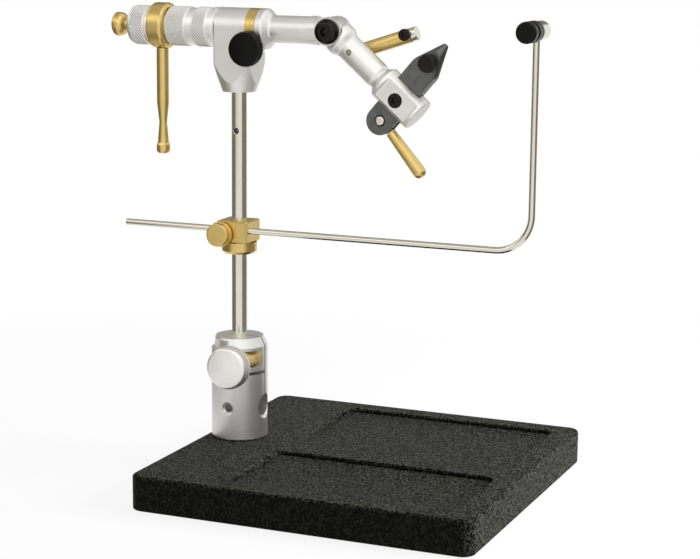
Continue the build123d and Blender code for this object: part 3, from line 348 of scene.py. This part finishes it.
def turned_rings(outline, teeth):
    """Heights and radii of every ring of an outline.
    It has (height, radius) points and knurled (start, end, radius) bands."""
    points = 2 * teeth
    rings = []
    for entry in outline:
        if len(entry) == 2:
            rings.append((entry[0], [entry[1]] * points, False))
            continue
        start, end, radius = entry
        diamond = 2 * math.pi * radius / teeth * KNURL_SLOPE
        rows = max(2, round(abs(end - start) / (diamond / 2)))
        rings.append((start, [radius - KNURL_DEPTH] * points, False))
        for row in range(1, rows):
            radii = [radius - KNURL_DEPTH * ((k + row) % 2) for k in range(points)]
            rings.append((start + (end - start) * row / rows, radii, True))
        rings.append((end, [radius - KNURL_DEPTH] * points, True))
    return rings


def turned_piece(node, axis, body, outline, closed=False, pitch=KNURL_PITCH):
    """Replace a node by a lathe-turned mesh; a closed outline goes round a bore."""
    matrix, _, radius = to_axis(node, axis)
    teeth = round(2 * math.pi * radius / pitch)
    mesh = bmesh.new()
    relief = mesh.verts.layers.float.new("relief")
    rings = [(ring_of(mesh, height, radii), knurled, radii)
             for height, radii, knurled in turned_rings(outline, teeth)]
    pairs = list(zip(rings, rings[1:]))
    if closed:
        pairs.append((rings[-1], rings[0]))
    for (low, _, low_radii), (high, knurled, _) in pairs:
        for k in range(len(low)):
            after = (k + 1) % len(low)
            corners = [low[k], low[after], high[after], high[k]]
            if not knurled:
                mesh.faces.new(corners)
            elif low_radii[k] < low_radii[after] or (low_radii[k] == low_radii[after]
                                                     and high[k].co.yz.length > high[after].co.yz.length):
                mesh.faces.new((corners[0], corners[1], corners[2]))
                mesh.faces.new((corners[0], corners[2], corners[3]))
            else:
                mesh.faces.new((corners[0], corners[1], corners[3]))
                mesh.faces.new((corners[1], corners[2], corners[3]))
    if not closed:
        mesh.faces.new(list(reversed(rings[0][0])))
        mesh.faces.new(rings[-1][0])
    # relief marks the crests (1) and the grooves (0); the knurled finish paints shade into the grooves by
    # it
    for points, _, radii in rings:
        crest = max(radii)
        for point, reach in zip(points, radii):
            point[relief] = 1.0 if reach == crest else 0.0
    bmesh.ops.recalc_face_normals(mesh, faces=mesh.faces)
    mesh.transform(matrix)
    data = bpy.data.meshes.new(node + "_turned")
    mesh.to_mesh(data)
    mesh.free()
    data.polygons.foreach_set("use_smooth", [True] * len(data.polygons))
    data.set_sharp_from_angle(angle=math.radians(SHARP_ANGLE))
    piece = bpy.data.objects.new(node + "_turned", data)
    bpy.context.collection.objects.link(piece)
    data.materials.append(KNURLED.get(SLOTS[node], FINISHES[SLOTS[node]]))
    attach(piece, body)
    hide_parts(node)


def rim(height, radius, edge, start, end):
    """Points of a rounded edge about its centre, between two angles from straight out."""
    turns = [math.radians(start + (end - start) * k / RIM_STEPS) for k in range(RIM_STEPS + 1)]
    return [(height + edge * math.sin(turn), radius + edge * math.cos(turn)) for turn in turns]


def grip(node, axis, edge, hole, neck=(0.0, 0.0)):
    """Outline of a knurled knob from its blind hole at the back to its front face.
    The hole and the neck are (radius, length) pairs."""
    _, length, radius = to_axis(node, axis)
    back = length - neck[1]
    inner = radius - KNURL_DEPTH - edge
    outline = [(length - hole[1], hole[0]), (length, hole[0])]
    if neck[1]:
        outline += [(length, neck[0]), (back, neck[0])]
    return (outline + rim(back - edge, inner, edge, 90, 0) + [(back - edge, edge, radius)]
            + rim(edge, inner, edge, 0, -90))


# Plain knobs: rounding of the edges, then hole and neck as (radius, length)
CLAMP_EDGE = 1.6 * MM
CLAMP_HOLE = (3.0 * MM, 6.5 * MM)
CLAMP_PITCH = 2.2 * MM
DRAG_EDGE = 0.8 * MM
DRAG_HOLE = (2.0 * MM, 6.3 * MM)
DRAG_NECK = (2.8 * MM, 1.8 * MM)
ADJUST_EDGE = 0.8 * MM
ADJUST_HOLE = (1.5 * MM, 3.5 * MM)

clamp_outline = grip("stem_clamp_knob", "Y", CLAMP_EDGE, CLAMP_HOLE)
turned_piece("stem_clamp_knob", "Y", "stem_knob", clamp_outline, pitch=CLAMP_PITCH)
turned_piece("drag_knob", "Y", "drag", grip("drag_knob", "Y", DRAG_EDGE, DRAG_HOLE, DRAG_NECK))
turned_piece("jaw_adjust_knob", "Y", "jaw_knob", grip("jaw_adjust_knob", "Y", ADJUST_EDGE, ADJUST_HOLE))


# Rear knob: a round rear edge, the knurled grip, a neck beside the crank ring, and a stepped bore
REAR_EDGE = 2.4 * MM
REAR_FRONT_EDGE = 0.5 * MM
REAR_NECK = (10.8 * MM, 2.4 * MM)
REAR_BORE = 4.05 * MM
REAR_SEAT = (6.05 * MM, 3.0 * MM)


def rear_outline():
    _, length, radius = to_axis("rear_knob", "X")
    front = length - REAR_NECK[1]
    land = radius - KNURL_DEPTH
    return ([(0.0, REAR_BORE)] + rim(REAR_EDGE, land - REAR_EDGE, REAR_EDGE, -90, 0)
            + [(REAR_EDGE, front - REAR_FRONT_EDGE, radius)]
            + rim(front - REAR_FRONT_EDGE, land - REAR_FRONT_EDGE, REAR_FRONT_EDGE, 0, 90)
            + [(front, REAR_NECK[0]), (length, REAR_NECK[0]), (length, REAR_SEAT[0]),
               (length - REAR_SEAT[1], REAR_SEAT[0]), (length - REAR_SEAT[1], REAR_BORE)])


turned_piece("rear_knob", "X", "rear_knob", rear_outline(), closed=True)


# Rotary barrel: boss, wide knurl, groove, narrow knurl, narrow groove and a smooth land beside the head
BARREL_BORE = 6.05 * MM
BARREL_BOSS = (1.0 * MM, 10.0 * MM)
BARREL_KNURLS = ((1.0 * MM, 14.5 * MM), (19.2 * MM, 28.7 * MM))
BARREL_GROOVE = 11.4 * MM
BARREL_LAND = 30.7 * MM
BARREL_RECESS = (1.5 * MM, 9.55 * MM)
BARREL_EDGE = 0.35 * MM


def barrel_outline():
    _, length, radius = to_axis("rotary_barrel", "X")
    outline = [(0.0, BARREL_BORE), (0.0, BARREL_BOSS[1]), BARREL_BOSS]
    land = radius - BARREL_EDGE - KNURL_DEPTH
    for start, end in BARREL_KNURLS:
        outline += [(start, land), (start + BARREL_EDGE, end - BARREL_EDGE, radius), (end, land),
                    (end, BARREL_GROOVE)]
        if end < BARREL_KNURLS[-1][1]:
            outline.append((BARREL_KNURLS[-1][0], BARREL_GROOVE))
    return outline + [
        (BARREL_LAND, BARREL_GROOVE), (BARREL_LAND, radius - BARREL_EDGE),
        (BARREL_LAND + BARREL_EDGE, radius),
        (length - BARREL_EDGE, radius), (length, radius - BARREL_EDGE), (length, BARREL_RECESS[1]),
        (length - BARREL_RECESS[0], BARREL_RECESS[1]), (length - BARREL_RECESS[0], BARREL_BORE),
    ]


turned_piece("rotary_barrel", "X", "rotor", barrel_outline(), closed=True)


# Stage, light and camera

FLOOR_HALF = 14.0
REFLECTOR_RADIUS = 1.25
REFLECTOR_LIFT = 0.004
CEILING = 1.5
CEILING_RISE = 0.1          # from the middle of a ceiling card to its rim
REFLECTOR_STEP = 6.0        # degrees
FLOOR_DROP = 0.2 * MM
FLOOR_GLOW = 0.88           # how far the floor is plain white near the vise; the rest keeps its shadow
FLOOR_NEAR = 0.25           # where the floor starts to turn plain white
FLOOR_FAR = 0.6
WORLD_FILL = 0.10           # level of the white surroundings on matt surfaces


def seen_directly(tree):
    """1 for camera, glossy and transmission rays, else 0."""
    path = tree.nodes.new("ShaderNodeLightPath")
    total = path.outputs["Is Camera Ray"]
    for ray in ("Is Glossy Ray", "Is Transmission Ray"):
        node = tree.nodes.new("ShaderNodeMath")
        node.operation = "MAXIMUM"
        tree.links.new(total, node.inputs[0])
        tree.links.new(path.outputs[ray], node.inputs[1])
        total = node.outputs["Value"]
    return total


def white_world():
    world = bpy.data.worlds.new("white_world")
    world.use_nodes = True
    tree = world.node_tree
    level = tree.nodes.new("ShaderNodeMapRange")
    level.inputs["To Min"].default_value = WORLD_FILL
    level.inputs["To Max"].default_value = 1.0
    tree.links.new(seen_directly(tree), level.inputs["Value"])
    background = tree.nodes["Background"]
    background.inputs["Color"].default_value = (1.0, 1.0, 1.0, 1.0)
    tree.links.new(level.outputs["Result"], background.inputs["Strength"])
    bpy.context.scene.world = world


def floor_finish():
    paper = Finish("white_floor", (0.86, 0.86, 0.86), 0.9)
    paper.vary_color(paper.noise(40.0 * MM), (0.85, 0.85, 0.85), (0.87, 0.87, 0.87))
    glow = paper.add("ShaderNodeEmission")
    reach = paper.add("ShaderNodeVectorMath", operation="LENGTH")
    paper.link(paper.place, reach.inputs[0])
    fade = paper.add("ShaderNodeMapRange", interpolation_type="SMOOTHSTEP")
    fade.inputs["From Min"].default_value = FLOOR_NEAR
    fade.inputs["From Max"].default_value = FLOOR_FAR
    fade.inputs["To Min"].default_value = FLOOR_GLOW
    fade.inputs["To Max"].default_value = 1.0
    paper.link(reach.outputs["Value"], fade.inputs["Value"])
    share = paper.add("ShaderNodeMath", operation="MULTIPLY")
    paper.link(seen_directly(paper.tree), share.inputs[0])
    paper.link(fade.outputs["Result"], share.inputs[1])
    mix = paper.add("ShaderNodeMixShader")
    paper.link(share.outputs["Value"], mix.inputs["Fac"])
    paper.link(paper.shader.outputs["BSDF"], mix.inputs[1])
    paper.link(glow.outputs["Emission"], mix.inputs[2])
    paper.link(mix.outputs["Shader"], paper.tree.nodes["Material Output"].inputs["Surface"])
    return paper.material


def sheet(name, corners, material):
    """A flat stage sheet through its corners."""
    data = bpy.data.meshes.new(name)
    data.from_pydata(corners, [], [tuple(range(len(corners)))])
    data.materials.append(material)
    piece = bpy.data.objects.new(name, data)
    bpy.context.collection.objects.link(piece)
    return piece


def lamp(name, place, target, size, power):
    """Soft lamp for matt surfaces; the cards light the metal."""
    data = bpy.data.lights.new(name, "AREA")
    data.shape = "RECTANGLE"
    data.size, data.size_y = size
    data.energy = power
    piece = bpy.data.objects.new(name, data)
    piece.location = place
    piece.rotation_euler = (Vector(target) - Vector(place)).to_track_quat("-Z", "Y").to_euler()
    piece.visible_glossy = False
    bpy.context.collection.objects.link(piece)


def reflector(name, bearings, heights, foot, material):
    """Curved sheet round the vise that only reflections show: bearings run from -Y towards +X.
    Its foot is the part along the floor."""
    first, last = bearings
    steps = max(2, round((last - first) / REFLECTOR_STEP))
    profile = [(REFLECTOR_RADIUS, level) for level in heights]
    if foot:
        profile.insert(0, (REFLECTOR_RADIUS - foot, heights[0]))
    corners, faces = [], []
    for step in range(steps + 1):
        turn = math.radians(first + (last - first) * step / steps)
        corners += [(radius * math.sin(turn), -radius * math.cos(turn), level) for radius, level in profile]
    width = len(profile)
    for step in range(steps):
        for row in range(width - 1):
            corner = step * width + row
            faces.append((corner, corner + width, corner + width + 1, corner + 1))
    data = bpy.data.meshes.new(name)
    data.from_pydata(corners, [], faces)
    data.materials.append(material)
    card = bpy.data.objects.new(name, data)
    bpy.context.collection.objects.link(card)
    card.visible_camera = False
    card.visible_diffuse = False
    card.visible_shadow = False


def card_finish(name, tone):
    """Even card that shows one tone in reflections."""
    cloth = Finish(name, (0.0, 0.0, 0.0), 1.0, specular=0.0)
    cloth.set("Emission Color", (*tone, 1.0))
    cloth.link(cloth.spread(cloth.noise(5.0 * MM), 0.95, 1.05), cloth.shader.inputs["Emission Strength"])
    return cloth.material


TARGET = (cad_box[0] + cad_box[1]) / 2
white_world()
corners = [(x * FLOOR_HALF, y * FLOOR_HALF, -FLOOR_DROP) for x, y in ((-1, -1), (1, -1), (1, 1), (-1, 1))]
floor = sheet("floor", corners, floor_finish())
floor.visible_diffuse = False
dark = card_finish("dark_card", (0.22, 0.21, 0.175))
dim = card_finish("dim_card", (0.56, 0.55, 0.52))
shade = card_finish("shade_card", (0.24, 0.23, 0.195))
grey = card_finish("grey_card", (0.82, 0.81, 0.78))
key = card_finish("key_card", (1.7, 1.7, 1.67))
bright = card_finish("bright_card", (1.6, 1.6, 1.57))
reflector("left_flag", (-125.0, -32.0), (REFLECTOR_LIFT, 0.6), 1.05, dark)
reflector("back_flag", (165.0, 235.0), (0.30, CEILING), 0.0, dark)
reflector("right_flag", (64.0, 146.0), (REFLECTOR_LIFT, 0.35), 0.95, shade)
reflector("front_card", (-32.0, 8.0), (REFLECTOR_LIFT, 0.75), 0.0, grey)
reflector("front_lamp", (8.0, 45.0), (0.40, 0.80), 0.0, bright)
reflector("soft_box", (-55.0, 25.0), (0.8, 1.4), 0.0, bright)
reflector("ceiling", (-180.0, 0.0), (CEILING, CEILING + CEILING_RISE), REFLECTOR_RADIUS, dim)
reflector("key_card", (25.0, 85.0), (CEILING, CEILING + CEILING_RISE), 0.7, key)
lamp("top_light", (0.35, 0.35, 1.4), TARGET, (2.0, 1.6), 16.0)
lamp("side_light", (1.25, 0.25, 0.55), TARGET, (0.8, 0.6), 26.0)

CAMERA_PLACE = (0.51115, -1.044423, 0.340631)
CAMERA_YAW = 0.396334       # from +Y towards -X
CAMERA_PITCH = 0.186905     # below the horizon
CAMERA_ROLL = 0.009404
FOCAL_PIXELS = 1908.463
IMAGE_WIDTH = 700
SENSOR_WIDTH = 36.0
VIEW_END = 100.0

data = bpy.data.cameras.new("camera")
data.sensor_fit = "HORIZONTAL"
data.sensor_width = SENSOR_WIDTH
data.lens = SENSOR_WIDTH * FOCAL_PIXELS / IMAGE_WIDTH
data.clip_end = VIEW_END
camera = bpy.data.objects.new("camera", data)
turn = (Matrix.Rotation(CAMERA_YAW, 4, "Z") @ Matrix.Rotation(math.pi / 2 - CAMERA_PITCH, 4, "X")
        @ Matrix.Rotation(CAMERA_ROLL, 4, "Z"))
camera.matrix_world = Matrix.Translation(CAMERA_PLACE) @ turn
bpy.context.collection.objects.link(camera)
bpy.context.scene.camera = camera
bpy.context.scene.view_settings.view_transform = "Standard"
